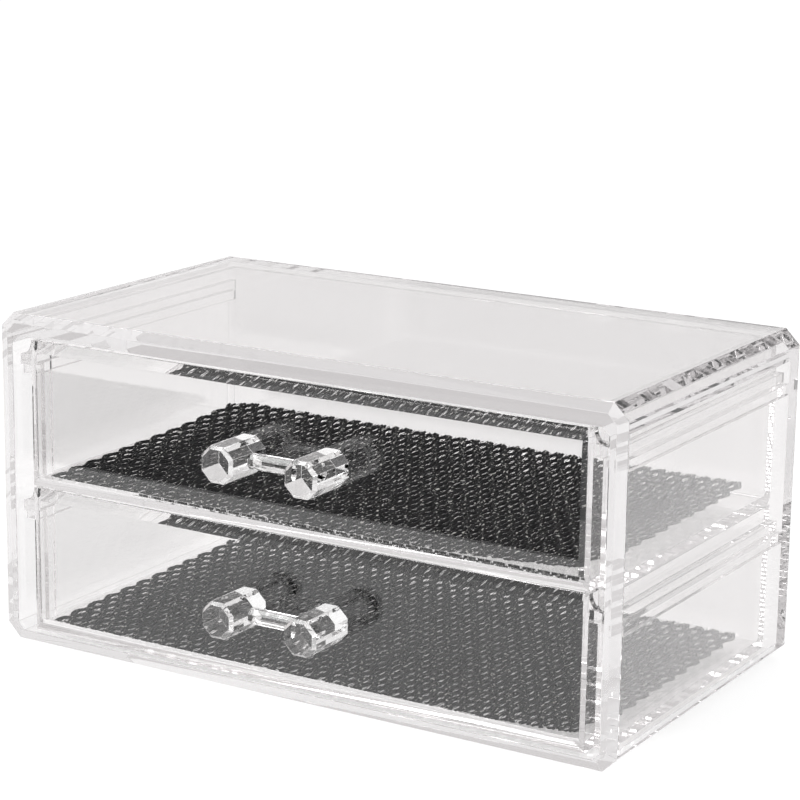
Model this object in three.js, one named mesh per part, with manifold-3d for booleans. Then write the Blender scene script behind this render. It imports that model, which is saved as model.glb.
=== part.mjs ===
// Clear two-drawer jewellery organizer: an open-fronted case, two drawers that slide on its side rails,
// a faceted pull on each drawer and a loose net liner on each drawer floor.
// Millimetres, +Z up, +X to the right as seen from the front, drawers opening towards -Y.
// The origin is the centre of the case's underside.
import * as THREE from "three";
import { mergeVertices } from "three/addons/utils/BufferGeometryUtils.js";
import Module from "manifold-3d";

const wasm = await Module();
wasm.setup();

// Case
const CASE_WIDTH = 240;
const CASE_DEPTH = 130;
const CASE_HEIGHT = 117;
const CASE_EDGE_CHAMFER = 5.2;
const RIM_BEVEL_WIDTH = 3.4;
const RIM_BEVEL_DEPTH = 1.3;
const SIDE_WALL = 5.6;
const TOP_WALL = 7.8;
const BOTTOM_WALL = 3.7;
const BACK_WALL = 3.6;
const CAVITY_CHAMFER = 2.6;

// Rails moulded on the inside of the case's side walls
const RAIL_HEIGHT = 3.7;
const RAIL_SETBACK = 6;
const RAIL_TO_DRAWER_CLEARANCE = 0.7;
const RAIL_TO_FLANGE_CLEARANCE = 0.3;

// Room round the drawers
const DRAWER_SIDE_ROOM = 4.6;
const DRAWER_RECESS = 0.8;
const DRAWER_BACK_CLEARANCE = 0.8;
const FLOOR_CLEARANCE = 0.5;
const BETWEEN_DRAWERS_CLEARANCE = 0.8;
const CEILING_CLEARANCE = 1.4;

// Drawer trays
const FRONT_PANEL = 2.6;
const FRONT_BEVEL_SIDE_WIDTH = 3.2;
const FRONT_BEVEL_END_WIDTH = 3.8;
const FRONT_BEVEL_DEPTH = 1.5;
const TRAY_WALL = 2.5;
const SHOULDER_WIDTH = 1.8;
const SHOULDER_DEPTH = 8;
const TRAY_FLOOR = 3;
const TRAY_INNER_EASE = 1.2;
const TRAY_REAR_CHAMFER = 1.8;
const FLANGE_HEIGHT = 3.6;
const FLANGE_DROP = 5.2;
const FLANGE_TO_WALL_CLEARANCE = 1.7;
const EAR_THICKNESS = 2.4;
const EAR_STEPS = 6;

// Pulls: two eight-sided knobs joined by an eight-sided bar
const KNOB_FLATS = 12.4;
const KNOB_LENGTH = 19.5;
const KNOB_BEVEL = 1.1;
const KNOB_SPACING = 32;
const BAR_FLATS = 5;
const BAR_STANDOFF = 8;
const PULL_SEAT_CLEARANCE = 0.2;

// Pegs that pin each knob to the front panel
const PEG_DIAMETER = 3;
const PEG_ENGAGEMENT = 2.8;
const PEG_CLEARANCE = 0.3;
const PEG_SIDES = 16;

// Net liners, with their gaps on a diamond lattice cut through at the edges
const LINER_THICKNESS = 1;
const LINER_FLOOR_CLEARANCE = 0.2;
const LINER_SIDE_MARGIN = 2.5;
const LINER_FRONT_MARGIN = 1.6;
const LINER_REAR_MARGIN = 5.1;
const NET_PITCH = 14.7;
const NET_STRAND = 2.8;

// How far a cutting or joining solid runs past the surface that it passes
const OVERRUN = 1;

const caseFront = -CASE_DEPTH / 2;
const caseBack = CASE_DEPTH / 2;
const cavityHalfWidth = CASE_WIDTH / 2 - SIDE_WALL;
const cavityHeight = CASE_HEIGHT - TOP_WALL - BOTTOM_WALL;
const cavityBack = caseBack - BACK_WALL;

const trayHalfWidth = cavityHalfWidth - DRAWER_SIDE_ROOM;
const trayHeight = (cavityHeight - FLOOR_CLEARANCE - BETWEEN_DRAWERS_CLEARANCE - CEILING_CLEARANCE) / 2;
const trayFront = caseFront + DRAWER_RECESS;
const trayBack = cavityBack - DRAWER_BACK_CLEARANCE;
const lowerTrayBase = BOTTOM_WALL + FLOOR_CLEARANCE;
const upperTrayBase = lowerTrayBase + trayHeight + BETWEEN_DRAWERS_CLEARANCE;
const flangeTop = trayHeight - FLANGE_DROP;
const flangeBottom = flangeTop - FLANGE_HEIGHT;
const frontHalfWidth = trayHalfWidth - SHOULDER_WIDTH;
const frontInnerHalfWidth = frontHalfWidth - TRAY_WALL;
const shoulder = trayFront + SHOULDER_DEPTH;
const trayInnerFront = trayFront + FRONT_PANEL;
const trayInnerBack = trayBack - TRAY_WALL;

const clearPlastic = { color: 0xf4f4f6, roughness: 0.04, metalness: 0, transparent: true, opacity: 0.3 };
const blackNet = { color: 0x111113, roughness: 0.75, metalness: 0 };

// Outlines, counter-clockwise in (x, z)
function rectangle(left, right, low, high) {
  return [
    new THREE.Vector2(left, low),
    new THREE.Vector2(right, low),
    new THREE.Vector2(right, high),
    new THREE.Vector2(left, high),
  ];
}

function chamferedRectangle(left, right, low, high, chamfer) {
  return [
    new THREE.Vector2(left + chamfer, low),
    new THREE.Vector2(right - chamfer, low),
    new THREE.Vector2(right, low + chamfer),
    new THREE.Vector2(right, high - chamfer),
    new THREE.Vector2(right - chamfer, high),
    new THREE.Vector2(left + chamfer, high),
    new THREE.Vector2(left, high - chamfer),
    new THREE.Vector2(left, low + chamfer),
  ];
}

function octagon(acrossFlats) {
  const half = acrossFlats / 2;
  return chamferedRectangle(-half, half, -half, half, acrossFlats / (2 + Math.SQRT2));
}

// A closed solid through matching outlines, set one behind another along +Y.
function loft(stations) {
  const count = stations[0].outline.length;
  const positions = stations.flatMap(({ y, outline }) => outline.flatMap((p) => [p.x, y, p.y]));
  const faces = [];
  for (let start = 0; start < (stations.length - 1) * count; start += count)
    for (let i = 0; i < count; i++) {
      const a = start + i;
      const b = start + ((i + 1) % count);
      faces.push(a, b + count, b, a, a + count, b + count);
    }
  const last = (stations.length - 1) * count;
  for (const [a, b, c] of THREE.ShapeUtils.triangulateShape(stations[0].outline, [])) {
    faces.push(a, b, c);
    faces.push(last + a, last + c, last + b);
  }
  const geometry = new THREE.BufferGeometry();
  geometry.setAttribute("position", new THREE.Float32BufferAttribute(positions, 3));
  geometry.setIndex(faces);
  return geometry;
}

function block(left, right, front, back, low, high) {
  const outline = rectangle(left, right, low, high);
  return loft([{ y: front, outline }, { y: back, outline }]);
}

function solid(geometry) {
  geometry.deleteAttribute("normal");
  geometry.deleteAttribute("uv");
  const merged = mergeVertices(geometry);
  return new wasm.Manifold(
    new wasm.Mesh({
      numProp: 3,
      vertProperties: merged.attributes.position.array,
      triVerts: new Uint32Array(merged.index.array),
    }),
  );
}

function mesh(name, body, look) {
  const { vertProperties, triVerts } = body.getMesh();
  const geometry = new THREE.BufferGeometry();
  geometry.setAttribute("position", new THREE.BufferAttribute(vertProperties, 3));
  geometry.setIndex(new THREE.BufferAttribute(triVerts, 1));
  const flat = geometry.toNonIndexed();
  flat.computeVertexNormals();
  const piece = new THREE.Mesh(flat, new THREE.MeshStandardMaterial(look));
  piece.name = name;
  return piece;
}

// Case: a chamfered tube closed at the back, with a bevelled front rim and a rail for each drawer flange
function caseOutline(inset) {
  const half = CASE_WIDTH / 2 - inset;
  const chamfer = CASE_EDGE_CHAMFER - inset * (2 - Math.SQRT2);
  return chamferedRectangle(-half, half, inset, CASE_HEIGHT - inset, chamfer);
}

function makeCase() {
  const shell = loft([
    { y: caseFront, outline: caseOutline(RIM_BEVEL_WIDTH) },
    { y: caseFront + RIM_BEVEL_DEPTH, outline: caseOutline(0) },
    { y: caseBack, outline: caseOutline(0) },
  ]);
  const cavityOutline = chamferedRectangle(
    -cavityHalfWidth, cavityHalfWidth, BOTTOM_WALL, BOTTOM_WALL + cavityHeight, CAVITY_CHAMFER,
  );
  const cavity = loft([
    { y: caseFront - OVERRUN, outline: cavityOutline },
    { y: cavityBack, outline: cavityOutline },
  ]);
  let body = solid(shell).subtract(solid(cavity));
  const railInner = trayHalfWidth + RAIL_TO_DRAWER_CLEARANCE;
  const railOuter = cavityHalfWidth + Math.min(OVERRUN, SIDE_WALL / 2);
  const railFront = caseFront + RAIL_SETBACK;
  const railBack = cavityBack + Math.min(OVERRUN, BACK_WALL / 2);
  for (const base of [lowerTrayBase, upperTrayBase]) {
    const railTop = base + flangeBottom - RAIL_TO_FLANGE_CLEARANCE;
    const railBottom = railTop - RAIL_HEIGHT;
    body = body
      .add(solid(block(railInner, railOuter, railFront, railBack, railBottom, railTop)))
      .add(solid(block(-railOuter, -railInner, railFront, railBack, railBottom, railTop)));
  }
  return mesh("case", body, clearPlastic);
}

// Tray, about its own base: a bevelled front panel between short narrow sides, a wider body behind
// their shoulders, and a flange along each side with an ear up to the panel's corner
function makeTray(name, pullHeight) {
  const front = rectangle(-frontHalfWidth, frontHalfWidth, 0, trayHeight);
  const face = rectangle(
    -frontHalfWidth + FRONT_BEVEL_SIDE_WIDTH, frontHalfWidth - FRONT_BEVEL_SIDE_WIDTH,
    FRONT_BEVEL_END_WIDTH, trayHeight - FRONT_BEVEL_END_WIDTH,
  );
  const full = rectangle(-trayHalfWidth, trayHalfWidth, 0, trayHeight);
  const raised = rectangle(-trayHalfWidth, trayHalfWidth, TRAY_REAR_CHAMFER, trayHeight);
  const frontOutside = loft([
    { y: trayFront, outline: face },
    { y: trayFront + FRONT_BEVEL_DEPTH, outline: front },
    { y: shoulder + OVERRUN, outline: front },
  ]);
  const outside = loft([
    { y: shoulder, outline: full },
    { y: trayBack - TRAY_REAR_CHAMFER, outline: full },
    { y: trayBack, outline: raised },
  ]);
  const aboveTray = trayHeight + OVERRUN;
  const pocket = (halfWidth, low) => rectangle(-halfWidth, halfWidth, low, aboveTray);
  const easedFloor = TRAY_FLOOR + TRAY_INNER_EASE;
  const frontInside = loft([
    { y: trayInnerFront, outline: pocket(frontInnerHalfWidth, easedFloor) },
    { y: trayInnerFront + TRAY_INNER_EASE, outline: pocket(frontInnerHalfWidth, TRAY_FLOOR) },
    { y: shoulder + TRAY_WALL + OVERRUN, outline: pocket(frontInnerHalfWidth, TRAY_FLOOR) },
  ]);
  const innerHalfWidth = trayHalfWidth - TRAY_WALL;
  const inside = loft([
    { y: shoulder + TRAY_WALL, outline: pocket(innerHalfWidth, TRAY_FLOOR) },
    { y: trayInnerBack - TRAY_INNER_EASE, outline: pocket(innerHalfWidth, TRAY_FLOOR) },
    { y: trayInnerBack, outline: pocket(innerHalfWidth, easedFloor) },
  ]);
  const earFront = trayFront + FRONT_BEVEL_DEPTH;
  const flangeOuter = cavityHalfWidth - FLANGE_TO_WALL_CLEARANCE;
  const flangeInner = frontHalfWidth - Math.min(OVERRUN, TRAY_WALL / 2);
  let body = solid(frontOutside).add(solid(outside));
  for (const side of [-1, 1]) {
    const [left, right] = [side * flangeInner, side * flangeOuter].sort((a, b) => a - b);
    body = body.add(solid(block(left, right, earFront, trayBack, flangeBottom, flangeTop)));
    const outline = earOutline(side, flangeInner, flangeOuter);
    body = body.add(solid(loft([{ y: earFront, outline }, { y: earFront + EAR_THICKNESS, outline }])));
  }
  body = body.subtract(solid(frontInside)).subtract(solid(inside));
  for (const side of [-1, 1])
    body = body.subtract(
      solid(rod(PEG_DIAMETER + 2 * PEG_CLEARANCE, trayFront - OVERRUN, trayInnerFront + OVERRUN)
        .translate((side * KNOB_SPACING) / 2, 0, pullHeight)),
    );
  return mesh(name, body, clearPlastic);
}

// The web between the front panel's upper corner and the flange's tip, with a hollow quarter curve on top
function earOutline(side, inner, outer) {
  const points = [new THREE.Vector2(side * inner, flangeBottom), new THREE.Vector2(side * outer, flangeBottom)];
  for (let step = 0; step <= EAR_STEPS; step++) {
    const turn = (step / EAR_STEPS) * (Math.PI / 2);
    points.push(new THREE.Vector2(
      side * (outer - (outer - frontHalfWidth) * Math.sin(turn)),
      trayHeight - (trayHeight - flangeTop) * Math.cos(turn),
    ));
  }
  points.push(new THREE.Vector2(side * inner, trayHeight));
  return side > 0 ? points : points.reverse();
}

// A round rod along Y from front to back
function rod(diameter, front, back) {
  return new THREE.CylinderGeometry(diameter / 2, diameter / 2, back - front, PEG_SIDES)
    .translate(0, (front + back) / 2, 0);
}

// Pull, about the middle of the front panel's outer face
const pullBase = -PULL_SEAT_CLEARANCE;

function makePull(name) {
  const knobFront = pullBase - KNOB_LENGTH;
  const knob = loft([
    { y: knobFront, outline: octagon(KNOB_FLATS - 2 * KNOB_BEVEL) },
    { y: knobFront + KNOB_BEVEL, outline: octagon(KNOB_FLATS) },
    { y: pullBase, outline: octagon(KNOB_FLATS) },
  ]);
  const bar = loft([
    { y: -KNOB_SPACING / 2, outline: octagon(BAR_FLATS) },
    { y: KNOB_SPACING / 2, outline: octagon(BAR_FLATS) },
  ]);
  let body = solid(bar.rotateZ(Math.PI / 2).translate(0, -BAR_STANDOFF, 0));
  for (const side of [-1, 1])
    body = body.add(solid(knob.clone().translate((side * KNOB_SPACING) / 2, 0, 0)));
  const boreEnd = -PEG_ENGAGEMENT - PEG_CLEARANCE;
  for (const side of [-1, 1])
    body = body.subtract(
      solid(rod(PEG_DIAMETER + 2 * PEG_CLEARANCE, boreEnd, OVERRUN)
        .translate((side * KNOB_SPACING) / 2, 0, 0)),
    );
  return mesh(name, body, clearPlastic);
}

function makePeg(name, side) {
  const body = solid(rod(PEG_DIAMETER, -PEG_ENGAGEMENT, FRONT_PANEL));
  const peg = mesh(name, body, clearPlastic);
  peg.position.x = (side * KNOB_SPACING) / 2;
  return peg;
}

// Liner: a rectangle of net, cut from a longer piece so that its edge runs through the gaps
function makeLiner(name) {
  const left = -frontInnerHalfWidth + LINER_SIDE_MARGIN;
  const front = trayInnerFront + LINER_FRONT_MARGIN;
  const width = -2 * left;
  const length = trayInnerBack - LINER_REAR_MARGIN - front;
  const columns = Math.max(1, Math.round(width / NET_PITCH));
  const rows = Math.max(1, Math.round(length / NET_PITCH));
  const pitchX = width / columns;
  const pitchY = length / rows;
  const gapX = pitchX / 2 - NET_STRAND / Math.SQRT2;
  const gapY = pitchY / 2 - NET_STRAND / Math.SQRT2;
  const diamond = new THREE.Shape([
    new THREE.Vector2(-gapX, 0),
    new THREE.Vector2(0, -gapY),
    new THREE.Vector2(gapX, 0),
    new THREE.Vector2(0, gapY),
  ]);
  const cutter = new THREE.ExtrudeGeometry(diamond, {
    depth: LINER_THICKNESS + 2 * OVERRUN,
    bevelEnabled: false,
  }).translate(0, 0, -OVERRUN);
  const sheet = new THREE.BoxGeometry(width, length, LINER_THICKNESS)
    .translate(left + width / 2, front + length / 2, LINER_THICKNESS / 2);
  let body = solid(sheet);
  for (let row = 0; row <= 2 * rows; row++)
    for (let column = row % 2; column <= 2 * columns; column += 2)
      body = body.subtract(
        solid(cutter.clone().translate(left + (column * pitchX) / 2, front + (row * pitchY) / 2, 0)),
      );
  const liner = mesh(name, body, blackNet);
  liner.position.z = TRAY_FLOOR + LINER_FLOOR_CLEARANCE;
  return liner;
}

// Drawer: a tray with its pull centred on the front panel, the two pegs and the liner
function makeDrawer(level, base) {
  const pullHeight = trayHeight / 2;
  const pull = new THREE.Group();
  pull.position.set(0, trayFront, pullHeight);
  pull.add(
    makePull(`${level}_pull`),
    makePeg(`${level}_left_peg`, -1),
    makePeg(`${level}_right_peg`, 1),
  );
  const drawer = new THREE.Group();
  drawer.position.z = base;
  drawer.add(makeTray(`${level}_tray`, pullHeight), makeLiner(`${level}_liner`), pull);
  return drawer;
}

const organizer = new THREE.Group();
organizer.add(makeCase(), makeDrawer("upper", upperTrayBase), makeDrawer("lower", lowerTrayBase));

export default organizer;
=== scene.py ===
"""Clear two-drawer jewellery organizer: mouldings of clear plastic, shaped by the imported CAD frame, with
softened edges, and a knitted net laid in each drawer."""

import math
import random

import bmesh
import bpy
from mathutils import Matrix, Vector


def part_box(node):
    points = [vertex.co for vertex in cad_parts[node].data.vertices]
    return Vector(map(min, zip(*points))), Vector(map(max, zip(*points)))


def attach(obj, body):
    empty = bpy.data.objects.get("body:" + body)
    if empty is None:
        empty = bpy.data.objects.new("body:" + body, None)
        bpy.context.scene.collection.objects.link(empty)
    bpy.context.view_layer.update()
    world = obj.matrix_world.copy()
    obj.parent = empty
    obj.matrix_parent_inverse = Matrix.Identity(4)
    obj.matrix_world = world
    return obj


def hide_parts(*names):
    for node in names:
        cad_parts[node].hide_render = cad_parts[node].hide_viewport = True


MM = 0.001

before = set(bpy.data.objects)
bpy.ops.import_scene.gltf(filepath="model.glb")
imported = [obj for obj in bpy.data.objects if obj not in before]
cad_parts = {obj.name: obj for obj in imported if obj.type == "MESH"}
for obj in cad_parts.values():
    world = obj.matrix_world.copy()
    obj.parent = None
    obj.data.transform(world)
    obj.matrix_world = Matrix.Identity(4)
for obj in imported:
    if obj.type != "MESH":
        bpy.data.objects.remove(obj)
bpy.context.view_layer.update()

# Camera, fitted to the photograph's corners
PICTURE_PX = 800
SENSOR_MM = 36.0
FOCAL_PX = 2564.957
CAMERA_PLACE = Vector((444.005, -729.025, 296.622)) * MM
CAMERA_AZIMUTH = 0.5453
CAMERA_ELEVATION = 0.2385
CAMERA_ROLL = 0.0134
CAMERA_CLIP = 0.01

# Clear mouldings
EDGE_RADIUS = 0.12 * MM
EDGE_SEGMENTS = 2
SHARP_EDGE = math.radians(8)
FLAT_ANGLE = math.radians(0.5)
WELD_REACH = 0.001 * MM
BORE_ROOM = 0.4 * MM
PLASTIC_IOR = 1.55
CASE_TINT = (0.915, 0.905, 0.906)
TRAY_TINT = (0.985, 0.981, 0.98)
PULL_TINT = (0.975, 0.972, 0.97)
DEPTH_COLOUR = (0.32, 0.28, 0.29)
DEPTH_DENSITY = 1.4
WAVE_SCALE = 28.0
WAVE_STRENGTH = 0.006
WAVE_DEPTH = 1.0 * MM
MARKS_SCALE = 140.0
MARKS_FROM = 0.62
MARKS_TO = 0.8
MARKS_ROUGHNESS = 0.03

# Net: wales of two flat strands that swing apart and together, which leaves staggered rows of small holes
# that stretch open towards the edges, and a thin wandering thread along each line of holes
WALE_PITCH = 2.85 * MM
HOLE_PITCH = 9.5 * MM
WALE_SWING = 0.5 * MM
EDGE_SWING = 0.5 * MM
EDGE_REACH = 15 * MM
STRAND_WIDTH = 1.5 * MM
STRAND_OFFSET = 0.65 * MM
STRAND_HEIGHT = 0.48 * MM
RING_SPACING = 0.85 * MM
THREAD_WIDTH = 0.26 * MM
THREAD_HEIGHT = 0.22 * MM
THREAD_SPACING = 1.3 * MM
THREAD_WANDER = 0.28 * MM
NET_JITTER = 0.09 * MM
NET_CORNER = 3.0 * MM
REAR_LEFT_CORNER = 11.0 * MM
RAGGED = 0.8 * MM
NET_RIPPLE = 0.08 * MM
RIPPLE_WAVES = ((9, 7), (21, 15))
NET_CURL = {
    "upper": {"rear": 4.3 * MM, "right": 3.2 * MM, "left": 3.5 * MM},
    "lower": {"rear": 2.2 * MM, "right": 1.6 * MM, "left": 2.2 * MM},
}
REAR_CURL_SHARE = 0.6
RIGHT_CURL_SHARE = 0.3
LEFT_CURL_SHARE = 0.25
CURL_BLEND = 4

# Yarn: matt and black, with painted glints: fine light specks painted into its colour in place of real
# highlights
YARN_DARK = (0.003, 0.003, 0.0033)
YARN_PALE = (0.012, 0.012, 0.013)
YARN_DARK_AT = 0.3
YARN_PALE_AT = 0.75
YARN_ROUGHNESS = 0.7
YARN_SPECULAR = 0.2
FIBRE_SCALE = 900.0
FIBRE_STRENGTH = 0.35
FIBRE_DEPTH = 0.1 * MM
GLINT_SPECK_SCALE = 1900.0
GLINT_SPECK_STRETCH = 0.35
CLUSTER_GATHER = 0.12
GLINT_FROM = 0.69
GLINT_TO = 0.73
GLINT_COLOUR = (0.62, 0.61, 0.585)

# Floor, room and lamp
FLOOR_FRONT = -0.255
FLOOR_REACH = 3.0
FLOOR_DROP = 0.2 * MM
FLOOR_ALBEDO = 0.3
FLOOR_GLOW = 0.77
ROOM_FOOT = (1.0, 1.0, 1.0)
ROOM_LOW = (0.77, 0.755, 0.755)
ROOM_HIGH = (1.0, 1.0, 1.0)
ROOM_LOW_AT = 0.06
ROOM_HIGH_AT = 0.75
DARK_OPENING = Vector((-0.5, -0.82, -0.25)).normalized()
DARK_OPENING_INNER = math.radians(13)
DARK_OPENING_OUTER = math.radians(20)
DARK_COLOUR = (0.06, 0.06, 0.062)
LAMP_PLACE = Vector((-0.6, -0.5, 1.1))
LAMP_AIM = Vector((0, 0, 0.05))
LAMP_SIZE = 0.6
LAMP_POWER = 4.5

# Bounces, enough for light to run through and along the clear walls
CLEAR_BOUNCES = 96
TRANSPARENT_BOUNCES = 32


def new_material(name):
    """A material with an empty node tree."""
    material = bpy.data.materials.new(name)
    material.use_nodes = True
    tree = material.node_tree
    tree.nodes.clear()
    return material, tree


def add(tree, kind, **values):
    """A node of that kind, with its properties or sockets set from values."""
    node = tree.nodes.new(kind)
    for key, value in values.items():
        if hasattr(node, key):
            setattr(node, key, value)
        else:
            node.inputs[key.replace("_", " ")].default_value = value
    return node


def clear_plastic(name, tint):
    """Clear polished plastic: refracting, a little wavy from the mould, with faint handling marks."""
    material, tree = new_material(name)
    link = tree.links.new
    place = add(tree, "ShaderNodeTexCoord")
    wave = add(tree, "ShaderNodeTexNoise", Scale=WAVE_SCALE, Detail=1.0)
    link(place.outputs["Object"], wave.inputs["Vector"])
    bump = add(tree, "ShaderNodeBump", Strength=WAVE_STRENGTH, Distance=WAVE_DEPTH)
    link(wave.outputs["Fac"], bump.inputs["Height"])
    marks = add(tree, "ShaderNodeTexNoise", Scale=MARKS_SCALE, Detail=3.0)
    link(place.outputs["Object"], marks.inputs["Vector"])
    polish = add(tree, "ShaderNodeMapRange")
    polish.inputs["From Min"].default_value = MARKS_FROM
    polish.inputs["From Max"].default_value = MARKS_TO
    polish.inputs["To Max"].default_value = MARKS_ROUGHNESS
    link(marks.outputs["Fac"], polish.inputs["Value"])
    body = add(tree, "ShaderNodeBsdfPrincipled", Base_Color=(*tint, 1.0), IOR=PLASTIC_IOR)
    body.inputs["Transmission Weight"].default_value = 1.0
    link(polish.outputs["Result"], body.inputs["Roughness"])
    link(bump.outputs["Normal"], body.inputs["Normal"])
    open_to_lamps = add(tree, "ShaderNodeBsdfTransparent")
    ray = add(tree, "ShaderNodeLightPath")
    mix = add(tree, "ShaderNodeMixShader")
    link(ray.outputs["Is Shadow Ray"], mix.inputs["Fac"])
    link(body.outputs["BSDF"], mix.inputs[1])
    link(open_to_lamps.outputs["BSDF"], mix.inputs[2])
    depth = add(tree, "ShaderNodeVolumeAbsorption", Color=(*DEPTH_COLOUR, 1.0), Density=DEPTH_DENSITY)
    out = add(tree, "ShaderNodeOutputMaterial")
    link(mix.outputs["Shader"], out.inputs["Surface"])
    link(depth.outputs["Volume"], out.inputs["Volume"])
    return material


def net_yarn(name):
    """Black knitted yarn: matt, with painted glints, fine light specks in its base colour gathered in
    staggered clusters.
    """
    material, tree = new_material(name)
    link = tree.links.new
    place = add(tree, "ShaderNodeTexCoord")
    fibre = add(tree, "ShaderNodeTexNoise", Scale=FIBRE_SCALE, Detail=2.0)
    link(place.outputs["Object"], fibre.inputs["Vector"])
    shade = add(tree, "ShaderNodeValToRGB")
    dark, pale = shade.color_ramp.elements
    dark.position = YARN_DARK_AT
    dark.color = (*YARN_DARK, 1)
    pale.position = YARN_PALE_AT
    pale.color = (*YARN_PALE, 1)
    link(fibre.outputs["Fac"], shade.inputs["Fac"])
    # Painted glints: a lattice of crests gathers fine noise specks into staggered clusters that stand in
    # for highlights on the yarn
    parts = add(tree, "ShaderNodeSeparateXYZ")
    link(place.outputs["Object"], parts.inputs["Vector"])
    crests = []
    for axis, period in (("X", 2 * WALE_PITCH), ("Y", HOLE_PITCH)):
        phase = add(tree, "ShaderNodeMath", operation="MULTIPLY")
        phase.inputs[1].default_value = 2 * math.pi / period
        link(parts.outputs[axis], phase.inputs[0])
        crest = add(tree, "ShaderNodeMath", operation="COSINE")
        link(phase.outputs["Value"], crest.inputs[0])
        crests.append(crest)
    lattice = add(tree, "ShaderNodeMath", operation="MULTIPLY")
    link(crests[0].outputs["Value"], lattice.inputs[0])
    link(crests[1].outputs["Value"], lattice.inputs[1])
    along = add(tree, "ShaderNodeMapping")
    along.inputs["Scale"].default_value = (1.0, GLINT_SPECK_STRETCH, 1.0)
    link(place.outputs["Object"], along.inputs["Vector"])
    glint_specks = add(tree, "ShaderNodeTexNoise", Scale=GLINT_SPECK_SCALE, Detail=1.0)
    link(along.outputs["Vector"], glint_specks.inputs["Vector"])
    gathered = add(tree, "ShaderNodeMath", operation="MULTIPLY_ADD")
    gathered.inputs[1].default_value = CLUSTER_GATHER
    link(lattice.outputs["Value"], gathered.inputs[0])
    link(glint_specks.outputs["Fac"], gathered.inputs[2])
    glint = add(tree, "ShaderNodeMapRange")
    glint.inputs["From Min"].default_value = GLINT_FROM
    glint.inputs["From Max"].default_value = GLINT_TO
    link(gathered.outputs["Value"], glint.inputs["Value"])
    # The painted glint colour is mixed into the yarn's base colour wherever the speck mask is high
    colour = add(tree, "ShaderNodeMix", data_type="RGBA")
    link(glint.outputs["Result"], colour.inputs["Factor"])
    link(shade.outputs["Color"], colour.inputs["A"])
    colour.inputs["B"].default_value = (*GLINT_COLOUR, 1)
    bump = add(tree, "ShaderNodeBump", Strength=FIBRE_STRENGTH, Distance=FIBRE_DEPTH)
    link(fibre.outputs["Fac"], bump.inputs["Height"])
    body = add(tree, "ShaderNodeBsdfPrincipled", Roughness=YARN_ROUGHNESS)
    body.inputs["Specular IOR Level"].default_value = YARN_SPECULAR
    link(colour.outputs["Result"], body.inputs["Base Color"])
    link(bump.outputs["Normal"], body.inputs["Normal"])
    out = add(tree, "ShaderNodeOutputMaterial")
    link(body.outputs["BSDF"], out.inputs["Surface"])
    return material


def add_piece(name, mesh, material, body):
    """The mesh as a visible piece that rides on the body."""
    mesh.materials.append(material)
    piece = bpy.data.objects.new(name, mesh)
    bpy.context.scene.collection.objects.link(piece)
    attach(piece, body)
    return piece


def fill_bores(bm, pegs):
    """Close the bores of the pegs, which are cemented in and can't be seen."""
    for peg in pegs:
        low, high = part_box(peg)
        axis = 0.5 * (low + high)
        reach = 0.5 * (high.x - low.x) + BORE_ROOM
        inside = [v for v in bm.verts if math.hypot(v.co.x - axis.x, v.co.z - axis.z) < reach]
        bmesh.ops.delete(bm, geom=inside, context="VERTS")
    bmesh.ops.holes_fill(bm, edges=[e for e in bm.edges if e.is_boundary], sides=0)


def moulding(name, node, body, material, pegs=()):
    """The CAD node's own shape with its sharp edges softened, as a mould leaves them."""
    bm = bmesh.new()
    bm.from_mesh(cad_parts[node].data)
    bmesh.ops.remove_doubles(bm, verts=bm.verts, dist=WELD_REACH)
    fill_bores(bm, pegs)
    bmesh.ops.dissolve_limit(bm, angle_limit=FLAT_ANGLE, verts=bm.verts, edges=bm.edges)
    bm.normal_update()
    sharp = [e for e in bm.edges if len(e.link_faces) == 2 and e.calc_face_angle() > SHARP_EDGE]
    bmesh.ops.bevel(
        bm, geom=sharp, offset=EDGE_RADIUS, offset_type="OFFSET", segments=EDGE_SEGMENTS,
        profile=0.5, affect="EDGES", clamp_overlap=True,
    )
    bmesh.ops.triangulate(bm, faces=[f for f in bm.faces if len(f.verts) > 4])
    bm.verts.index_update()
    mesh = bpy.data.meshes.new(name)
    mesh.from_pydata([v.co for v in bm.verts], [], [[v.index for v in f.verts] for f in bm.faces])
    bm.free()
    return add_piece(name, mesh, material, body)


def strand(vertices, faces, path, width, height):
    """A strand with a flat underside and a ridge along its top, closed at both ends."""
    start = len(vertices)
    for i, point in enumerate(path):
        ahead = path[min(i + 1, len(path) - 1)] - path[max(i - 1, 0)]
        across = Vector((ahead.y, -ahead.x, 0)).normalized() * (0.5 * width)
        vertices += [point - across, point + across, point + Vector((0, 0, height))]
    for ring in range(len(path) - 1):
        a = start + 3 * ring
        faces += [(a, a + 3, a + 4, a + 1), (a + 1, a + 4, a + 5, a + 2), (a + 2, a + 5, a + 3, a)]
    faces += [(start, start + 1, start + 2), (len(vertices) - 1, len(vertices) - 2, len(vertices) - 3)]


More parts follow.
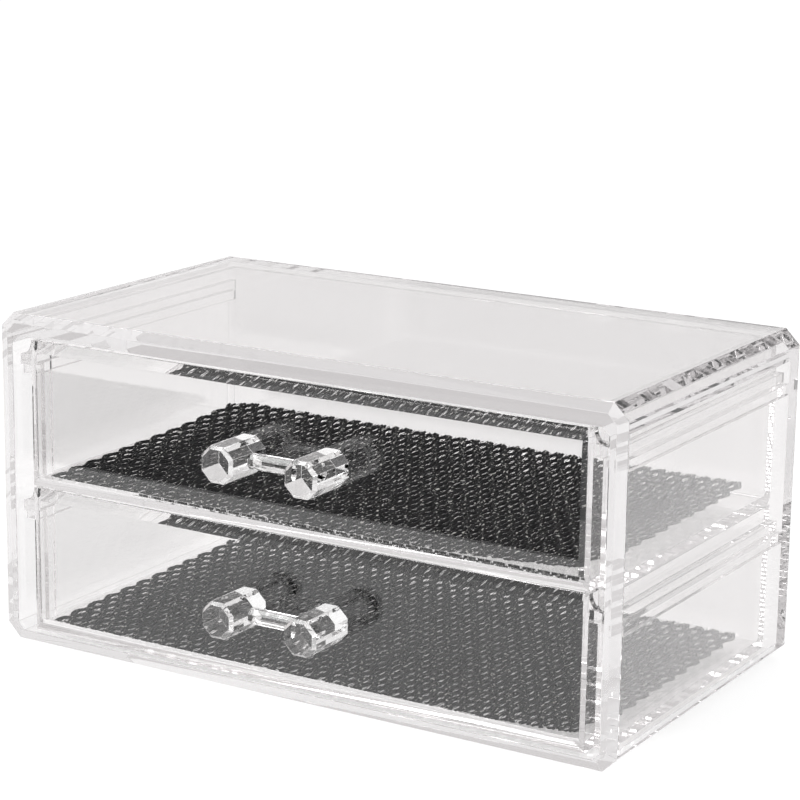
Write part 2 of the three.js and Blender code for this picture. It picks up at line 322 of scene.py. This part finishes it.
def knitted_net(level, body, material, seed):
    """A knitted net laid on the tray's floor, with ragged rounded edges that curl up a little."""
    draw = random.Random(seed)
    name, node = f"{level}_net", f"{level}_liner"
    low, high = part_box(node)
    width, length = high.x - low.x, high.y - low.y
    curl = NET_CURL[level]
    starts = [(draw.uniform(0, 2 * math.pi), draw.uniform(0, 2 * math.pi)) for _ in RIPPLE_WAVES]

    def height(x, y):
        """The net's underside over the point, lifted by its curled edges and a slight ripple."""
        u, v = (x - low.x) / width, (y - low.y) / length
        rear = curl["rear"] * max(0.0, (v - (1 - REAR_CURL_SHARE)) / REAR_CURL_SHARE) ** 2
        right = curl["right"] * max(0.0, (u - (1 - RIGHT_CURL_SHARE)) / RIGHT_CURL_SHARE) ** 2
        left = curl["left"] * v * max(0.0, (LEFT_CURL_SHARE - u) / LEFT_CURL_SHARE) ** 2
        lift = (rear ** CURL_BLEND + right ** CURL_BLEND + left ** CURL_BLEND) ** (1 / CURL_BLEND)
        ripple = sum(
            math.sin(across * u + start[0]) * math.sin(along * v + start[1])
            for (across, along), start in zip(RIPPLE_WAVES, starts)
        )
        return low.z + lift + NET_RIPPLE * (len(RIPPLE_WAVES) + ripple)

    def span(x):
        """The ends of a strand at x, cut to the rounded corners and ragged."""
        inset = max(0.0, min(x - low.x, high.x - x))
        radii = (NET_CORNER, REAR_LEFT_CORNER if x - low.x < high.x - x else NET_CORNER)
        front, rear = (r - math.sqrt(r ** 2 - max(0.0, r - inset) ** 2) for r in radii)
        first = low.y + front + abs(draw.gauss(0, RAGGED))
        return first, high.y - rear - abs(draw.gauss(0, RAGGED))

    def swing(x, y):
        """How far a wale swings aside at the point, more towards the stretched edges."""
        inset = min(x - low.x, high.x - x, y - low.y, high.y - y)
        return WALE_SWING + EDGE_SWING * max(0.0, 1 - inset / EDGE_REACH)

    vertices, faces = [], []
    wales = round(width / WALE_PITCH)
    margin = WALE_SWING + EDGE_SWING + STRAND_OFFSET + 0.5 * STRAND_WIDTH
    pitch = (width - 2 * margin) / (wales - 1)
    for wale in range(wales):
        middle = low.x + margin + wale * pitch
        side = 1 if wale % 2 else -1
        for offset in (-STRAND_OFFSET, STRAND_OFFSET):
            first, last = span(middle + offset)
            count = max(2, round((last - first) / RING_SPACING))
            path = []
            for i in range(count + 1):
                y = first + (last - first) * i / count
                sway = side * swing(middle, y) * math.cos(2 * math.pi * y / HOLE_PITCH)
                x = middle + offset + sway + draw.gauss(0, NET_JITTER)
                path.append(Vector((x, y, height(x, y) + abs(draw.gauss(0, NET_JITTER)))))
            strand(vertices, faces, path, STRAND_WIDTH, STRAND_HEIGHT)
        if wale:
            x = middle - 0.5 * pitch
            first, last = span(x)
            count = max(2, round((last - first) / THREAD_SPACING))
            ys = [first + (last - first) * i / count for i in range(count + 1)]
            path = [Vector((x + draw.gauss(0, THREAD_WANDER), y, height(x, y) + NET_JITTER)) for y in ys]
            strand(vertices, faces, path, THREAD_WIDTH, THREAD_HEIGHT)
    mesh = bpy.data.meshes.new(name)
    mesh.from_pydata(vertices, [], faces)
    mesh.polygons.foreach_set("use_smooth", [True] * len(mesh.polygons))
    piece = add_piece(name, mesh, material, body)
    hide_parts(node)


def make_camera():
    """The camera at the photograph's place, turned and rolled as it was."""
    data = bpy.data.cameras.new("camera")
    data.sensor_width = SENSOR_MM
    data.lens = FOCAL_PX / PICTURE_PX * SENSOR_MM
    data.clip_start = CAMERA_CLIP
    camera = bpy.data.objects.new("camera", data)
    back = Vector((
        math.sin(CAMERA_AZIMUTH) * math.cos(CAMERA_ELEVATION),
        -math.cos(CAMERA_AZIMUTH) * math.cos(CAMERA_ELEVATION),
        math.sin(CAMERA_ELEVATION),
    ))
    level = Vector((0, 0, 1)).cross(back).normalized()
    upright = back.cross(level)
    right = math.cos(CAMERA_ROLL) * level + math.sin(CAMERA_ROLL) * upright
    up = math.cos(CAMERA_ROLL) * upright - math.sin(CAMERA_ROLL) * level
    turn = Matrix((right, up, back)).transposed().to_4x4()
    camera.matrix_world = Matrix.Translation(CAMERA_PLACE) @ turn
    bpy.context.scene.collection.objects.link(camera)
    bpy.context.scene.camera = camera


def make_floor():
    """A pale floor that glows enough to read as white and still takes the object's shadow."""
    mesh = bpy.data.meshes.new("floor")
    mesh.from_pydata(
        [(-FLOOR_REACH, FLOOR_FRONT, 0), (FLOOR_REACH, FLOOR_FRONT, 0),
         (FLOOR_REACH, FLOOR_REACH, 0), (-FLOOR_REACH, FLOOR_REACH, 0)],
        [], [(0, 1, 2, 3)],
    )
    material, tree = new_material("pale_floor")
    link = tree.links.new
    body = add(tree, "ShaderNodeBsdfDiffuse", Color=(FLOOR_ALBEDO, FLOOR_ALBEDO, FLOOR_ALBEDO, 1))
    glow = add(tree, "ShaderNodeEmission", Color=(1, 1, 1, 1), Strength=FLOOR_GLOW)
    both = add(tree, "ShaderNodeAddShader")
    out = add(tree, "ShaderNodeOutputMaterial")
    link(body.outputs["BSDF"], both.inputs[0])
    link(glow.outputs["Emission"], both.inputs[1])
    link(both.outputs["Shader"], out.inputs["Surface"])
    mesh.materials.append(material)
    floor = bpy.data.objects.new("floor", mesh)
    floor.location.z = -FLOOR_DROP
    bpy.context.scene.collection.objects.link(floor)


def make_world():
    """A pale room, white at its foot and overhead, with one dark opening low in front of the object."""
    world = bpy.data.worlds.new("studio")
    world.use_nodes = True
    bpy.context.scene.world = world
    tree = world.node_tree
    tree.nodes.clear()
    link = tree.links.new
    place = add(tree, "ShaderNodeTexCoord")
    toward = add(tree, "ShaderNodeVectorMath", operation="DOT_PRODUCT")
    toward.inputs[1].default_value = DARK_OPENING
    link(place.outputs["Generated"], toward.inputs[0])
    opening = add(tree, "ShaderNodeMapRange")
    opening.inputs["From Min"].default_value = math.cos(DARK_OPENING_OUTER)
    opening.inputs["From Max"].default_value = math.cos(DARK_OPENING_INNER)
    link(toward.outputs["Value"], opening.inputs["Value"])
    parts = add(tree, "ShaderNodeSeparateXYZ")
    link(place.outputs["Generated"], parts.inputs["Vector"])
    height = add(tree, "ShaderNodeValToRGB")
    foot, high = height.color_ramp.elements
    foot.color = (*ROOM_FOOT, 1)
    high.position = ROOM_HIGH_AT
    high.color = (*ROOM_HIGH, 1)
    height.color_ramp.elements.new(ROOM_LOW_AT).color = (*ROOM_LOW, 1)
    link(parts.outputs["Z"], height.inputs["Fac"])
    room_colour = add(tree, "ShaderNodeMix", data_type="RGBA")
    link(opening.outputs["Result"], room_colour.inputs["Factor"])
    link(height.outputs["Color"], room_colour.inputs["A"])
    room_colour.inputs["B"].default_value = (*DARK_COLOUR, 1)
    room = add(tree, "ShaderNodeBackground", Strength=1.0)
    link(room_colour.outputs["Result"], room.inputs["Color"])
    out = add(tree, "ShaderNodeOutputWorld")
    link(room.outputs["Background"], out.inputs["Surface"])


def make_lamp():
    """One soft round lamp high at the front left."""
    data = bpy.data.lights.new("lamp", "AREA")
    data.shape = "DISK"
    data.size = LAMP_SIZE
    data.energy = LAMP_POWER
    lamp = bpy.data.objects.new("lamp", data)
    lamp.location = LAMP_PLACE
    lamp.rotation_euler = (LAMP_AIM - LAMP_PLACE).to_track_quat("-Z", "Y").to_euler()
    bpy.context.scene.collection.objects.link(lamp)


make_camera()
make_floor()
make_world()
make_lamp()

case_plastic = clear_plastic("case_plastic", CASE_TINT)
tray_plastic = clear_plastic("tray_plastic", TRAY_TINT)
pull_plastic = clear_plastic("pull_plastic", PULL_TINT)
yarn = net_yarn("net_yarn")

case_moulding = moulding("case_moulding", "case", "case", case_plastic)
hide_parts("case")
for seed, level in enumerate(("upper", "lower")):
    body = f"{level}_drawer"
    pegs = (f"{level}_left_peg", f"{level}_right_peg")
    tray_moulding = moulding(
        f"{level}_tray_moulding", f"{level}_tray", body, tray_plastic, pegs,
    )
    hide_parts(f"{level}_tray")
    pull_moulding = moulding(
        f"{level}_pull_moulding", f"{level}_pull", body, pull_plastic, pegs,
    )
    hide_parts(f"{level}_pull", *pegs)
    knitted_net(level, body, yarn, seed)

scene = bpy.context.scene
scene.view_settings.view_transform = "Standard"
scene.cycles.max_bounces = CLEAR_BOUNCES
scene.cycles.transmission_bounces = CLEAR_BOUNCES
scene.cycles.glossy_bounces = CLEAR_BOUNCES
scene.cycles.transparent_max_bounces = TRANSPARENT_BOUNCES
scene.cycles.use_denoising = True
